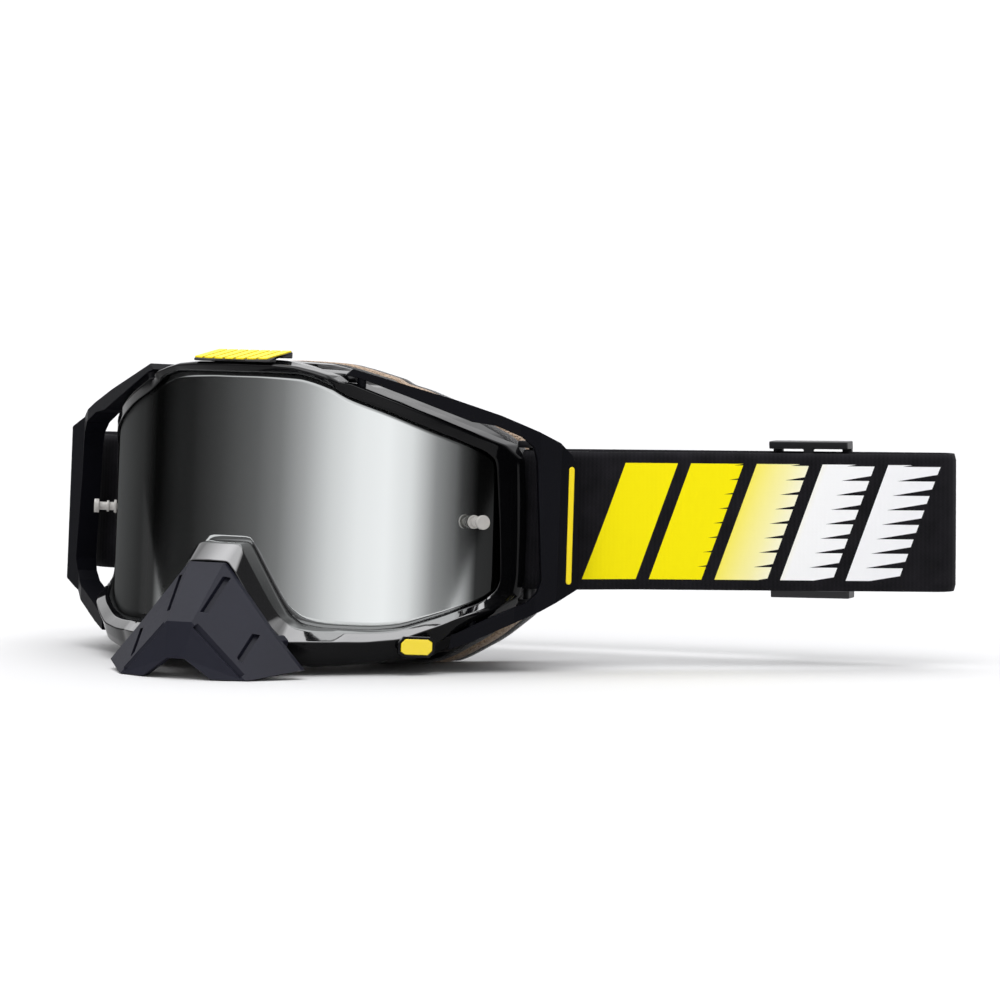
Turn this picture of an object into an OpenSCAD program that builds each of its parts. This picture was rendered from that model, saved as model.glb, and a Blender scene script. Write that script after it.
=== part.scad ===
// Motorcycle goggles with a mirrored lens, nose guard, outriggers and a
// folded elastic strap. Front faces -Y, +X is the wearer's left, +Z is up.
// The origin lies on the table under the axis that the lens is curved about.
// Node names say left and right as the wearer does.
// The goggle body is drawn upright about that axis, then leaned back.

/* [Frame] */
// Radius of the lower front face of the frame about the lens axis
rim_r = 83.5; // [83.5:0.25:84.5]
// Radius of the brow's front face
brow_r = 81.5; // [81:0.25:82]
// Radius of the bezel beside the lens, nearly flush with it
side_r = 79; // [78.8:0.1:79.4]
// Wall thickness of the frame body
wall = 2.6; // [2.2:0.1:3]
// Radius of the rear edge of the frame, which follows the face
face_r = 100; // [99:0.5:101]
// Distance of the face curve's axis behind the lens axis
face_y = 55; // [54.5:0.25:55.5]
// Angle that the goggle body leans back on the table
lean = 4.5; // [4.5:0.1:4.6]

/* [Lens] */
// Outer radius of the cylindrical lens
lens_r = 78; // [77.8:0.1:78.2]
// Thickness of the lens
lens_t = 1.2; // [1:0.1:1.4]
// Gap between the edge of the lens and the frame
lens_gap = 0.3; // [0.25:0.05:0.5]
// Angle of each tear-off post from straight ahead
post_angle = 57; // [55:0.5:58]
// Length of a tear-off post
post_len = 7.4; // [7:0.1:8]
// Radius of the stem of a tear-off post
post_r = 1.3; // [1.2:0.05:1.4]

/* [Outriggers] */
// Thickness of the outrigger plate
rig_t = 8; // [7.6:0.1:8]
// Length of the coloured stripe
stripe_len = 36; // [34:0.5:37]
// Width of the coloured stripe
stripe_w = 1.9; // [1.6:0.1:2]

/* [Strap] */
// Width of the elastic strap
strap_w = 42.6; // [42:0.1:43]
// Thickness of the elastic strap
strap_t = 1.8; // [1.6:0.1:1.8]
// Radius of the bars that the strap ends loop round
bar_r = 2; // [1.8:0.1:2]
// Radius of the strap's fold at its middle line
fold_r = 5; // [4.9:0.05:5.1]

/* [Foam] */
// Thickness of the firm foam layer on the frame
foam_a = 6; // [5:0.5:6]
// Thickness of the soft middle layer
foam_b = 5; // [4:0.5:5]
// Thickness of the fleece that touches the face
foam_c = 3; // [2:0.5:3]

/* [Hidden] */
$fn = 96;
fit_gap = 0.25;         // clearance between moulded pieces that sit side by side
lift = 42.1;            // height of the lens axis datum over the table
side_y = -26;           // rear limit of the rim at the sides
seat_r = lens_r - lens_t - 0.2;
ledge_r = 73;
big = 300;

// ---- outlines, seen from the front as [x, z], right half, clockwise ----

// outer edge of the rim, round the nose arch
rim_half = [
    [0, 46.2], [18, 46], [24, 45], [30, 43.4], [33, 41.4], [37, 42.2], [50, 36.6],
    [66, 29.2], [72.3, 25.7], [76, 22.5], [77.8, 18], [78.3, 8], [79, -11],
    [78.4, -21], [75.5, -25.5], [69, -29.8], [64, -33.7], [62, -41], [54, -42],
    [44.5, -44.2], [33, -46.2], [27, -46.2], [24, -42], [17, -31], [11, -22],
    [7, -16.4], [0, -15.6]
];
// window that the lens fills
window_half = [
    [0, 43], [22, 43], [30, 40.5], [36, 36.8], [46, 33], [54.5, 29], [62.5, 25],
    [67.8, 21.8], [69.7, 19], [70.7, -2], [71.1, -17.5], [70.5, -20.8], [68.1, -24.3],
    [61, -29], [52, -33], [45, -34], [31, -34], [24.5, -33], [20, -29.5],
    [8.5, -10], [7, -8.6], [0, -8.6]
];
// outer edge of the frame body at the face
body_half = [
    [0, 47.8], [16, 47.2], [30, 43.2], [43, 38.6], [56, 32.4], [64, 27], [68, 20],
    [69, 0], [69, -18], [66.8, -26.5], [58.8, -36], [49.8, -42.6], [46, -44.6], [29, -44.6],
    [25, -43], [21, -35], [13, -24], [8, -19.6], [0, -18.4]
];
// inner edge of the face flange and of the foam
flange_half = [
    [0, 38], [26, 35], [42, 29.5], [53, 22], [57, 12], [57, -14], [53, -25],
    [45, -31.5], [36, -33.5], [31, -31], [25, -22], [16, -12], [9, -7.5], [0, -6.5]
];

function mirrored(half) = concat(half,
    [for (i = [len(half) - 1:-1:0]) if (half[i].x > 0) [-half[i].x, half[i].y]]);
function unit(v) = v / norm(v);
// unit normal of the edge from a to b, towards the inside of a clockwise outline
function inward(a, b) = let (d = unit(b - a)) [d.y, -d.x];
// a clockwise outline moved inwards by d with square corners
function inset(p, d) = [
    for (i = [0:len(p) - 1])
        let (n1 = inward(p[(i + len(p) - 1) % len(p)], p[i]),
             n2 = inward(p[i], p[(i + 1) % len(p)]))
        p[i] + (n1 + n2) * d / (1 + n1 * n2)
];

rim = mirrored(rim_half);
window = mirrored(window_half);
body = mirrored(body_half);
flange = mirrored(flange_half);

// ---- shared shapes ----

// the goggle body's lean and its height over the table
module leaned() {
    translate([0, 0, lift]) rotate([-lean, 0, 0]) children();
}

// everything of its children above the table
module above_table() {
    intersection() {
        children();
        translate([-big / 2, -big / 2, 0]) cube(big);
    }
}

// an [x, z] outline made solid from y0 back to y1
module slab(outline, y0 = -120, y1 = 20) {
    translate([0, y1, 0]) rotate([90, 0, 0])
        linear_extrude(height = y1 - y0) polygon(outline);
}

// upright cylinder of radius r about the lens axis, moved back by y
module drum(r, y = 0) {
    translate([0, y, -big / 2]) cylinder(r = r, h = big, $fn = 128);
}

// space between two faces that follow the wearer's face
module face_shell(r_front, r_back) {
    difference() {
        drum(r_front, face_y);
        drum(r_back, face_y);
    }
}

// pin along the view direction, from y0 back to y1
module pin_y(x, z, r, y0, y1) {
    translate([x, y1, z]) rotate([90, 0, 0]) cylinder(r = r, h = y1 - y0, $fn = 32);
}

// ---- frame ----

nose_r = 60;
nose_y = -28;

// parts of the front that stand further out than the bezel beside the lens
lower_region = mirrored([[0, -14], [40, -14], [66, -23], [90, -28], [90, -60], [0, -60]]);
brow_region = mirrored([[0, 60], [34, 60], [34, 39], [0, 39]]);

// the front bulges forward round the nose, to meet the guard
module front_drums(grow = 0) {
    drum(side_r + grow);
    intersection() {
        drum(rim_r + grow);
        slab(lower_region, -120, 20);
    }
    intersection() {
        drum(brow_r + grow);
        slab(brow_region, -120, 20);
    }
    intersection() {
        drum(nose_r + grow, nose_y);
        translate([-big / 2, -big / 2, -big]) cube(big);
    }
}

guard_peg = [24.4, -38.6];
guard_peg_r = 1.4;
guard_boss_r = 2.1;
rig_peg_top = [38, -66];
rig_peg_low = [67.2, -44.2];
rig_peg_r = 1.4;

module rim_ring() {
    difference() {
        intersection() {
            slab(rim, -120, side_y);
            front_drums();
        }
        drum(ledge_r);
        difference() {
            slab(window, -120, 20);
            drum(seat_r);
        }
        slab(inset(window, 6), -120, 20);
    }
}

module body_wall() {
    difference() {
        intersection() {
            slab(body, -120, 20);
            drum(seat_r);
            drum(face_r + 60, face_y);
        }
        slab(inset(body, wall), -121, 21);
        drum(face_r, face_y);
    }
}

module face_flange() {
    intersection() {
        difference() {
            slab(body, -120, 20);
            slab(flange, -121, 21);
        }
        face_shell(face_r + 2.4, face_r);
    }
}

module vent_slots() {
    for (side = [-1, 1], i = [0:2]) {
        translate([side * (9 + 11 * i) - 4, -66, 30]) cube([8, 9, 30]);
        translate([side * (34 + 8 * i) - 2.5, -52 + 3 * i, -60]) cube([5, 9, 20]);
    }
}

module frame() {
    color("black") leaned() difference() {
        union() {
            rim_ring();
            body_wall();
            face_flange();
        }
        vent_slots();
        for (side = [-1, 1]) {
            pin_y(side * guard_peg.x, guard_peg.y, guard_peg_r + 0.06, -90, -73.5);
            translate([side * rig_peg_top.x, rig_peg_top.y, 37])
                cylinder(r = rig_peg_r + 0.05, h = 12, $fn = 32);
            translate([side * rig_peg_low.x, rig_peg_low.y, -42])
                cylinder(r = rig_peg_r + 0.05, h = 12.5, $fn = 32);
        }
    }
}

// ---- lens and tear-off posts ----

post_z = 0;
post_hole_r = 1;

module post_place(side) {
    translate([0, 0, post_z]) rotate([0, 0, side * post_angle]) rotate([90, 0, 0])
        children();
}

module lens() {
    color("silver") leaned() difference() {
        intersection() {
            slab(inset(window, lens_gap), -120, 0);
            drum(lens_r);
        }
        drum(lens_r - lens_t);
        for (side = [-1, 1]) post_place(side)
            translate([0, 0, lens_r - 4]) cylinder(r = post_hole_r, h = 8, $fn = 32);
    }
}

// stem with two rings and a hooked head, on a spigot through the lens
module tear_off_post(side) {
    color("gainsboro") leaned() post_place(side) {
        translate([0, 0, lens_r - lens_t]) cylinder(r = post_hole_r - 0.03, h = 2, $fn = 32);
        translate([0, 0, lens_r + 0.25]) cylinder(r = 2.1, h = 0.9, $fn = 32);
        translate([0, 0, lens_r + 0.25]) cylinder(r = post_r, h = post_len - 0.25, $fn = 32);
        translate([0, 0, lens_r + 2.6]) cylinder(r = 1.8, h = 0.8, $fn = 32);
        translate([0, 0, lens_r + post_len - 1.6]) cylinder(r = 2.2, h = 1.6, $fn = 32);
    }
}

// ---- nose guard ----

guard_t = 2.6;
// unit normal of the guard's large side facet, on the right
facet = [0.555, -0.683, 0.476];
guard_apex = [6.2, -90.4, -15.3];

// point of the side facet at a given x and z
function on_facet(x, z) = [x, guard_apex.y - (facet.x * (x - guard_apex.x)
    + facet.z * (z - guard_apex.z)) / facet.y, z];
function flip(p) = [-p.x, p.y, p.z];
function at_y(p, y) = [p.x, y, p.z];
function backwards(list) = [for (i = [len(list) - 1:-1:0]) list[i]];

guard_break = on_facet(4.5, -33.4);
guard_edge = on_facet(24.5, -36);
guard_wing = on_facet(34.7, -46.6);
guard_tip = on_facet(22.8, -50.4);
guard_low = [12.2, -104.6, -50.4];
guard_arch = [3.2, -105.8, -44.6];
guard_back = -74;

// right half of the guard's outline, from the apex clockwise
guard_rim = [guard_apex, guard_edge, guard_wing, guard_tip, guard_low, guard_arch];

// solid with the guard's front facets and a flat back
module guard_block() {
    right = [for (p = guard_rim) p];
    left = [for (p = guard_rim) flip(p)];
    n = len(guard_rim);
    points = concat(right, left, [guard_break, flip(guard_break)],
        [for (p = right) at_y(p, guard_back)], [for (p = left) at_y(p, guard_back)]);
    b = 2 * n;
    r = b + 2;
    faces = [
        [0, n, b + 1, b], [b, b + 1, 2 * n - 1, n - 1],
        [0, b, 3, 2, 1], [n, n + 1, n + 2, n + 3, b + 1],
        [b, n - 1, 4, 3], [b + 1, n + 3, n + 4, 2 * n - 1],
        concat([for (i = [0:n - 1]) r + i], [for (i = [n - 1:-1:0]) r + n + i])
    ];
    walls = [for (i = [0:n - 2]) [i, i + 1, r + i + 1, r + i]];
    left_walls = [for (i = [0:n - 2]) [n + i + 1, n + i, r + n + i, r + n + i + 1]];
    caps = [[n, 0, r, r + n], [n - 1, 2 * n - 1, r + 2 * n - 1, r + n - 1]];
    polyhedron(points, [for (f = concat(faces, walls, left_walls, caps)) backwards(f)],
        convexity = 6);
}

// the space behind the facets, a little wider than the block so that its sides are open
module guard_hollow() {
    translate([0, guard_t, -33]) scale([1.03, 1, 1.03]) translate([0, 0, 33]) guard_block();
}

module guard_slots() {
    for (side = [-1, 1]) {
        translate([side * 7.4, -96, -25]) rotate([0, side * 10, 0])
            cube([2, 20, 11], center = true);
        translate([side * 20, -92, -40.6]) rotate([0, side * 10, 0])
            cube([2, 16, 8.5], center = true);
    }
}

// channel along the edge between the side facet and the low facet
module guard_groove() {
    run = guard_tip - guard_break;
    translate(guard_break) rotate([0, 0, atan2(run.y, run.x)])
        rotate([0, -atan2(run.z, norm([run.x, run.y])), 0])
        translate([1.5, -0.9, -0.9]) cube([norm(run) - 3.5, 1.8, 1.8]);
}

module nose_guard() {
    color([0.2, 0.2, 0.25]) above_table() leaned() {
        difference() {
            guard_block();
            guard_hollow();
            front_drums(0.4);
            difference() {
                guard_slots();
                translate([0, guard_t * 0.75, 0]) guard_block();
            }
            guard_groove();
            mirror([1, 0, 0]) guard_groove();
        }
        for (side = [-1, 1]) {
            intersection() {
                pin_y(side * guard_peg.x, guard_peg.y, guard_boss_r, -96, -84);
                guard_block();
            }
            pin_y(side * guard_peg.x, guard_peg.y, guard_peg_r, -88, -74);
        }
    }
}

// ---- outriggers, drawn flat as [s, z] along the plate ----

rig_root = [32, -73, 0];
rig_turn = 34.5;
rig_outline = [
    [4, 43.4], [6, 45.2], [20.5, 41.5], [38, 37], [52, 32.8], [64, 28.3], [70.4, 25.2],
    [74.4, 21.4], [76.4, 17], [77.4, -19.5], [72.3, -22.8], [66.3, -26.5],
    [54, -32.4], [45, -36.7], [38.4, -39.2], [39, -34.6], [40.5, -34.2], [48, -30.4],
    [56, -26.8], [62, -24.2], [65, -21], [66.2, -17], [63.7, 19.5], [62.6, 23.4],
    [59, 26.6], [51, 29.7], [43.5, 30.6], [23, 37.6], [8, 42.6]
];
// cross-section of the plate along s, with the ridge of the outer bar
rig_section = [
    [-5, 0], [58, 0], [64.4, -1.5], [70.8, 0], [78, -3.9], [78, -rig_t], [-5, -rig_t]
];
ridge_s = 70.8;
stripe_s = 74.4;
stripe_tilt = atan2(3.9, 7.2);

module rig_place() {
    translate(rig_root) rotate([0, 0, rig_turn]) children();
}

module pill(len, w, h) {
    translate([-w / 2, -(len - w) / 2, 0]) cube([w, len - w, h]);
    for (end = [-1, 1]) translate([0, end * (len - w) / 2, 0]) cylinder(d = w, h = h, $fn = 32);
}

// local frame on the sloping stripe face of the outer bar
module stripe_place() {
    rig_place() translate([stripe_s, (stripe_s - ridge_s) * tan(stripe_tilt), 0])
        rotate([0, 0, stripe_tilt]) rotate([90, 0, 0]) rotate([0, 0, 0.6]) children();
}

module outrigger() {
    difference() {
        union() {
            difference() {
                rig_place() intersection() {
                    translate([0, rig_t, 0]) rotate([90, 0, 0])
                        linear_extrude(height = rig_t) polygon(rig_outline);
                    translate([0, 0, -60]) linear_extrude(height = 120)
                        polygon([for (p = rig_section) [p.x, -p.y]]);
                }
                intersection() {
                    slab(inset(rim, -fit_gap), -120, side_y + fit_gap);
                    front_drums(fit_gap);
                }
                intersection() {
                    slab(inset(body, -fit_gap), -120, 20);
                    drum(seat_r + fit_gap);
                }
            }
            translate([rig_peg_top.x, rig_peg_top.y, 37.4])
                cylinder(r = rig_peg_r, h = 6, $fn = 32);
            translate([rig_peg_low.x, rig_peg_low.y, -35])
                cylinder(r = rig_peg_r, h = 5, $fn = 32);
        }
        stripe_place() translate([0, 0, -1]) pill(stripe_len + 0.1, stripe_w + 0.1, 5);
    }
}

module outrigger_left() {
    color([0.16, 0.16, 0.2]) leaned() outrigger();
}

module outrigger_right() {
    color([0.16, 0.16, 0.2]) leaned() mirror([1, 0, 0]) outrigger();
}

module stripe() {
    stripe_place() translate([0, 0, -0.95]) pill(stripe_len, stripe_w, 1.2);
}

module stripe_left() {
    color("yellow") leaned() stripe();
}

module stripe_right() {
    color("yellow") leaned() mirror([1, 0, 0]) stripe();
}

// ---- strap bars ----

bar_at = [73.5, -19.7];
lug_z = 23.4;
lug_h = 2.2;

module strap_bar() {
    translate([bar_at.x, bar_at.y, -lug_z - 0.5]) cylinder(r = bar_r, h = 2 * lug_z + 1, $fn = 32);
    for (z = [-lug_z - lug_h, lug_z]) translate([0, 0, z]) {
        translate([69.1, bar_at.y - 3.4, 0]) cube([bar_at.x - 69.1, 6.8, lug_h]);
        translate([bar_at.x, bar_at.y, 0]) cylinder(r = 3.4, h = lug_h, $fn = 48);
    }
}

module strap_bar_left() {
    color("black") leaned() strap_bar();
}

module strap_bar_right() {
    color("black") leaned() mirror([1, 0, 0]) strap_bar();
}

// ---- strap ----
// Each point of the strap's middle line is [x, y, z of the lower edge, lean],
// where a lean of 1 follows the goggle body and 0 is upright.

strap_z = 23.9;
loop_r = bar_r + 0.4 + strap_t / 2;
// height of the strap's middle over the bar's middle, along the leaned bar
strap_rise = (strap_z + strap_w / 2 - lift + bar_at.y * sin(lean)) / cos(lean);
loop_at = [bar_at.x, bar_at.y * cos(lean) + strap_rise * sin(lean)];
fold_at = [183, 40.3];
fold_start = -60;
fold_end = 97;

function arc(c, r, a0, a1, n) = [for (i = [0:n])
    let (a = a0 + (a1 - a0) * i / n) c + r * [cos(a), sin(a)]];
function lifted(points, z, tilt) = [for (p = points) [p.x, p.y, z, tilt]];

end_loop = arc(loop_at, loop_r, 75, 285, 12);
stitch = [[90.6, -16.5], [83.4, -19.9], [78, -18.6]];
right_run = [[78.6, -23.1], [84, -22.2], [92, -18]];
strap_left = concat(
    lifted(stitch, strap_z, 1), lifted(end_loop, strap_z, 1),
    lifted([right_run[0], right_run[1]], strap_z, 1), [[92, -18, strap_z, 0.5]],
    [[104, -11, strap_z, 0]]);
strap_fold = lifted(arc(fold_at, fold_r, fold_start, fold_end, 10), strap_z - 0.8, 0);
run_a = [182.4, 45.3, 23];
run_b = [-50, 15.6, 19.5];
strap_back = [[run_b.x, run_b.y, run_b.z, 0], [-72, 13, 21, 0], [-86, 9.6, 22.6, 0.2],
    [-94, 3.6, 23.4, 0.3], [-97.4, -4, strap_z, 0.4], [-96.8, -11.6, strap_z, 0.5],
    [-92, -18, strap_z, 0.7]];
strap_right = concat(
    [for (p = [right_run[1], right_run[0]]) [-p.x, p.y, strap_z, 1]],
    [for (i = [len(end_loop) - 1:-1:0]) [-end_loop[i].x, end_loop[i].y, strap_z, 1]],
    [for (i = [2:-1:0]) [-stitch[i].x, stitch[i].y, strap_z, 1]]);
strap_route = concat(strap_left, strap_fold, strap_back, strap_right);

// ribbon swept along a route, with a face on each side of the middle line
module ribbon(route, w, t) {
    n = len(route);
    sides = [for (i = [0:n - 1])
        let (a = route[max(i - 1, 0)], b = route[i], c = route[min(i + 1, n - 1)],
             d1 = i == 0 ? unit([c.x - b.x, c.y - b.y]) : unit([b.x - a.x, b.y - a.y]),
             d2 = i == n - 1 ? d1 : unit([c.x - b.x, c.y - b.y]),
             m = [-d1.y - d2.y, d1.x + d2.x])
        m * t / 2 / (1 + d1 * d2)];
    points = [for (i = [0:n - 1], up = [0, 1], side = [-1, 1])
        let (p = route[i], shift = (up - 0.5) * w * tan(lean) * p[3])
        [p.x + side * sides[i].x, p.y + side * sides[i].y + shift, p.z + up * w]];
    quads = [for (i = [0:n - 2], q = [[0, 1, 5, 4], [1, 3, 7, 5], [3, 2, 6, 7], [2, 0, 4, 6]])
        [for (k = q) 4 * i + k]];
    ends = [[0, 2, 3, 1], [for (k = [1, 3, 2, 0]) 4 * (n - 1) + k]];
    polyhedron(points, concat(quads, ends), convexity = 10);
}

module strap() {
    color([0.06, 0.06, 0.06]) ribbon(strap_route, strap_w, strap_t);
}

// ---- pieces on the back run of the strap ----

run_angle = atan2(run_a.y - run_b.y, run_a.x - run_b.x);
run_drop = atan2(run_a.z - run_b.z, run_a.x - run_b.x);

// local frame on the back run at a given x: x along it, y to the outside
module on_back_run(x) {
    t = (x - run_b.x) / (run_a.x - run_b.x);
    p = run_b + t * (run_a - run_b);
    translate([p.x, p.y, p.z + strap_w / 2]) rotate([0, 0, run_angle])
        rotate([0, -run_drop, 0]) children();
}

slider_gap = 0.25;
slider_bar = [3.2, 1.6];
slider_len = 26;
slider_rail = 2.4;

// three-bar slider: the strap passes in front of the outer bars and behind the middle one
module slider() {
    reach = strap_t / 2 + slider_gap;
    height = strap_w / 2 + 0.8;
    for (x = [-1, 0, 1]) {
        y = x == 0 ? -reach - slider_bar.y : reach;
        translate([x * (slider_len - slider_bar.x) / 2 - slider_bar.x / 2, y, -height - 1])
            cube([slider_bar.x, slider_bar.y, 2 * height + 2]);
    }
    for (z = [-height - slider_rail, height]) translate([-slider_len / 2, -reach - slider_bar.y, z])
        cube([slider_len, 2 * (reach + slider_bar.y), slider_rail]);
}

module strap_slider_right() {
    color([0.1, 0.1, 0.1]) on_back_run(-14) slider();
}

module strap_slider_left() {
    color([0.1, 0.1, 0.1]) on_back_run(140) slider();
}

module silicone_grip() {
    color([0.15, 0.15, 0.15]) on_back_run(63) for (z = [-12, 0, 12])
        translate([-42, -strap_t / 2 - 0.66, z - 0.8]) cube([84, 0.6, 1.6]);
}

// ---- rib pad on the brow ----

pad_x = 13.8;           // half of the pad's width
pad_front = -brow_r - 0.2;
pad_back = -67.5;
pad_z = 46.9;           // top of the base at its front edge
pad_slope = 12;
rib_pitch = 3.9;
rib_h = 0.5;

module rib_pad_base() {
    top_back = pad_z + (pad_back - pad_front) * tan(pad_slope);
    step_y = -seat_r - 0.3;
    color([0.25, 0.25, 0.27]) leaned() intersection() {
        translate([-pad_x, 0, 0]) rotate([90, 0, 90]) linear_extrude(height = 2 * pad_x)
            polygon([
                [pad_front, 46.3], [pad_front, pad_z], [pad_back, top_back],
                [pad_back, 47.9], [step_y, 47.9], [step_y, 46.3]]);
        drum(brow_r + 0.4);
    }
}

module rib_pad_ribs() {
    color("yellow") leaned() intersection() {
        for (i = [-3:3]) translate([i * rib_pitch, pad_front, pad_z + 0.03]) rotate([pad_slope, 0, 0])
            linear_extrude(height = rib_h) polygon([[-1.9, 0], [1.1, 0], [1.9, 14], [-1.1, 14]]);
        drum(brow_r + 0.2);
    }
}

// ---- badge on the lower right of the rim ----

badge_angle = 43.5;

module badge_place() {
    rotate([0, 0, badge_angle]) translate([0, -rim_r, -38.6]) rotate([90, 0, 0]) children();
}

module hexagon(w, h, t) {
    linear_extrude(height = t) polygon([
        [-w / 2, -h * 0.32], [-w * 0.36, -h / 2], [w * 0.36, -h / 2], [w / 2, -h * 0.2],
        [w / 2, h * 0.32], [w * 0.36, h / 2], [-w * 0.36, h / 2], [-w / 2, h * 0.2]]);
}

module badge_bezel() {
    color("black") leaned() badge_place() difference() {
        translate([0, 0, 0.1]) hexagon(11.6, 6.4, 1.5);
        translate([0, 0, 0.8]) hexagon(9.9, 4.9, 2);
    }
}

module badge_plate() {
    color("yellow") leaned() badge_place() translate([0, 0, 0.85]) hexagon(9.7, 4.7, 1);
}

// ---- foam ----

module foam_layer(r_front, r_back) {
    above_table() leaned() intersection() {
        difference() {
            slab(body, -120, 20);
            slab(flange, -121, 21);
        }
        face_shell(r_front, r_back);
    }
}

module foam_base_layer() {
    color([0.12, 0.12, 0.12]) foam_layer(face_r - 0.05, face_r - foam_a);
}

module foam_middle_layer() {
    color([0.6, 0.48, 0.38]) foam_layer(face_r - foam_a - 0.05, face_r - foam_a - foam_b);
}

module foam_fleece_layer() {
    color([0.08, 0.08, 0.08])
        foam_layer(face_r - foam_a - foam_b - 0.05, face_r - foam_a - foam_b - foam_c);
}

// thin filter foam that lines the inside of the wall behind the vents
module vent_lining() {
    intersection() {
        difference() {
            slab(inset(body, wall + 0.1), -120, 20);
            slab(inset(body, wall + 3.1), -121, 21);
            drum(face_r + 2.4 + fit_gap, face_y);
        }
        drum(ledge_r - fit_gap);
        children();
    }
}

module top_vent_foam() {
    color([0.2, 0.2, 0.2]) leaned() vent_lining() translate([-40, -70, 30]) cube([80, 16, 30]);
}

module bottom_vent_foam() {
    color([0.2, 0.2, 0.2]) leaned() vent_lining() for (side = [-1, 1])
        translate([side * 44 - 13, -56, -60]) cube([26, 20, 25]);
}

frame();
lens();
tear_off_post(-1);  // tear_off_post_right
tear_off_post(1);  // tear_off_post_left
nose_guard();
outrigger_right();
outrigger_left();
stripe_right();
stripe_left();
strap_bar_right();
strap_bar_left();
strap();
strap_slider_right();
strap_slider_left();
silicone_grip();
rib_pad_base();
rib_pad_ribs();
badge_bezel();
badge_plate();
foam_base_layer();
foam_middle_layer();
foam_fleece_layer();
top_vent_foam();
bottom_vent_foam();
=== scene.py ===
import math

import bpy
import bmesh
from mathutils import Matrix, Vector, noise


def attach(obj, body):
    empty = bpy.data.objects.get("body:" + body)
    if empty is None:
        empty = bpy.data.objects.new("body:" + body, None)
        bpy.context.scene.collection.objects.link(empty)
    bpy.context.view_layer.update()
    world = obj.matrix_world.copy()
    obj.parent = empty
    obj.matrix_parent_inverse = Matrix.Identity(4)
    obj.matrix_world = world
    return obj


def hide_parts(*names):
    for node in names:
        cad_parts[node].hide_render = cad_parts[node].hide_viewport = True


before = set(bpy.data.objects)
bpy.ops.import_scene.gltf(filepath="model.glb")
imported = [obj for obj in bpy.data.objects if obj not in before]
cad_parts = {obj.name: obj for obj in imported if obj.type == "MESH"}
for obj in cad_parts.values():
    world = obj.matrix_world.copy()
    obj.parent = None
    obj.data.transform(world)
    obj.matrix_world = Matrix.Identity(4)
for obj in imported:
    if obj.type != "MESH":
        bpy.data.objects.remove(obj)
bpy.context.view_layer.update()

# ---------------------------------------------------------------- the frame of the goggle body
MM = 0.001
LEAN = math.radians(4.5)      # the body leans back about X
LIFT = 42.1                   # lens axis datum over the table, mm
RIM_R = 83.9                  # front of the bezel over the cheeks
SIDE_R = 79.1                 # beside the lens, nearly flush with it
NOSE_R = 89.4
LENS_R = 78.0
LENS_T = 1.2
LENS_SPAN = 80                # reach of the lens to either side in its colour ramps
FACE_R = 100.0
FACE_Y = 55.0
SIDE_Y = -26.0


def row(x, y, z):
    """A point of the upright goggle body, in mm, as a place in the scene, in metres."""
    c, s = math.cos(LEAN), math.sin(LEAN)
    return Vector((x, y * c + z * s, -y * s + z * c + LIFT)) * MM


def smooth(a, b, x):
    t = min(max((x - a) / (b - a), 0.0), 1.0)
    return t * t * (3 - 2 * t)


def mix(a, b, t):
    return a + (b - a) * t


# ---------------------------------------------------------------- camera, floor and lights
def make_camera():
    data = bpy.data.cameras.new("photo_camera")
    data.lens = 201.5
    data.sensor_width = 36
    data.clip_start = 0.05
    data.clip_end = 50
    camera = bpy.data.objects.new("photo_camera", data)
    bpy.context.scene.collection.objects.link(camera)
    camera.location = (0.9276, -1.5191, 0.1763)
    forward = Vector((-0.4987, 0.8638, -0.0724))
    camera.rotation_euler = forward.to_track_quat("-Z", "Y").to_euler()
    bpy.context.scene.camera = camera


make_camera()


# ---------------------------------------------------------------- materials
class Nodes:
    """A short way to write a node tree."""

    def __init__(self, name):
        self.material = bpy.data.materials.new(name)
        self.material.use_nodes = True
        self.tree = self.material.node_tree
        self.shader = self.tree.nodes["Principled BSDF"]

    def add(self, kind, **values):
        node = self.tree.nodes.new(kind)
        for key, value in values.items():
            if hasattr(node, key):
                setattr(node, key, value)
            else:
                node.inputs[key.replace("_", " ")].default_value = value
        return node

    def link(self, a, b):
        self.tree.links.new(a, b)

    def math(self, operation, a, b=0.0, clamp=False):
        node = self.tree.nodes.new("ShaderNodeMath")
        node.operation = operation
        node.use_clamp = clamp
        for socket, value in zip(node.inputs, (a, b)):
            if isinstance(value, bpy.types.NodeSocket):
                self.link(value, socket)
            else:
                socket.default_value = value
        return node.outputs[0]

    def set(self, **values):
        for key, value in values.items():
            self.shader.inputs[key.replace("_", " ")].default_value = value

    def place(self):
        return self.add("ShaderNodeTexCoord").outputs["Object"]

    def noise(self, scale, detail=2.0, rough=0.5, where=None):
        node = self.add("ShaderNodeTexNoise")
        node.inputs["Scale"].default_value = scale
        node.inputs["Detail"].default_value = detail
        node.inputs["Roughness"].default_value = rough
        self.link(where or self.place(), node.inputs["Vector"])
        return node.outputs["Fac"]

    def ramp(self, value, stops):
        node = self.add("ShaderNodeValToRGB")
        elements = node.color_ramp.elements
        while len(elements) > 1:
            elements.remove(elements[-1])
        for i, (at, colour) in enumerate(stops):
            element = elements[0] if i == 0 else elements.new(at)
            element.position = at
            element.color = (*colour, 1)
        self.link(value, node.inputs["Fac"])
        return node.outputs["Color"]

    def span(self, value, low, high):
        """value from 0..1 to low..high"""
        return self.math("ADD", self.math("MULTIPLY", value, high - low), low)

    def bump(self, height, strength, distance):
        node = self.add("ShaderNodeBump")
        node.inputs["Strength"].default_value = strength
        node.inputs["Distance"].default_value = distance
        self.link(height, node.inputs["Height"])
        self.link(node.outputs["Normal"], self.shader.inputs["Normal"])


def tinted(n, dark, light, scale):
    """Base colour that wanders slowly between two near shades."""
    n.link(n.ramp(n.noise(scale, 3), [(0.3, dark), (0.7, light)]), n.shader.inputs["Base Color"])


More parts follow.
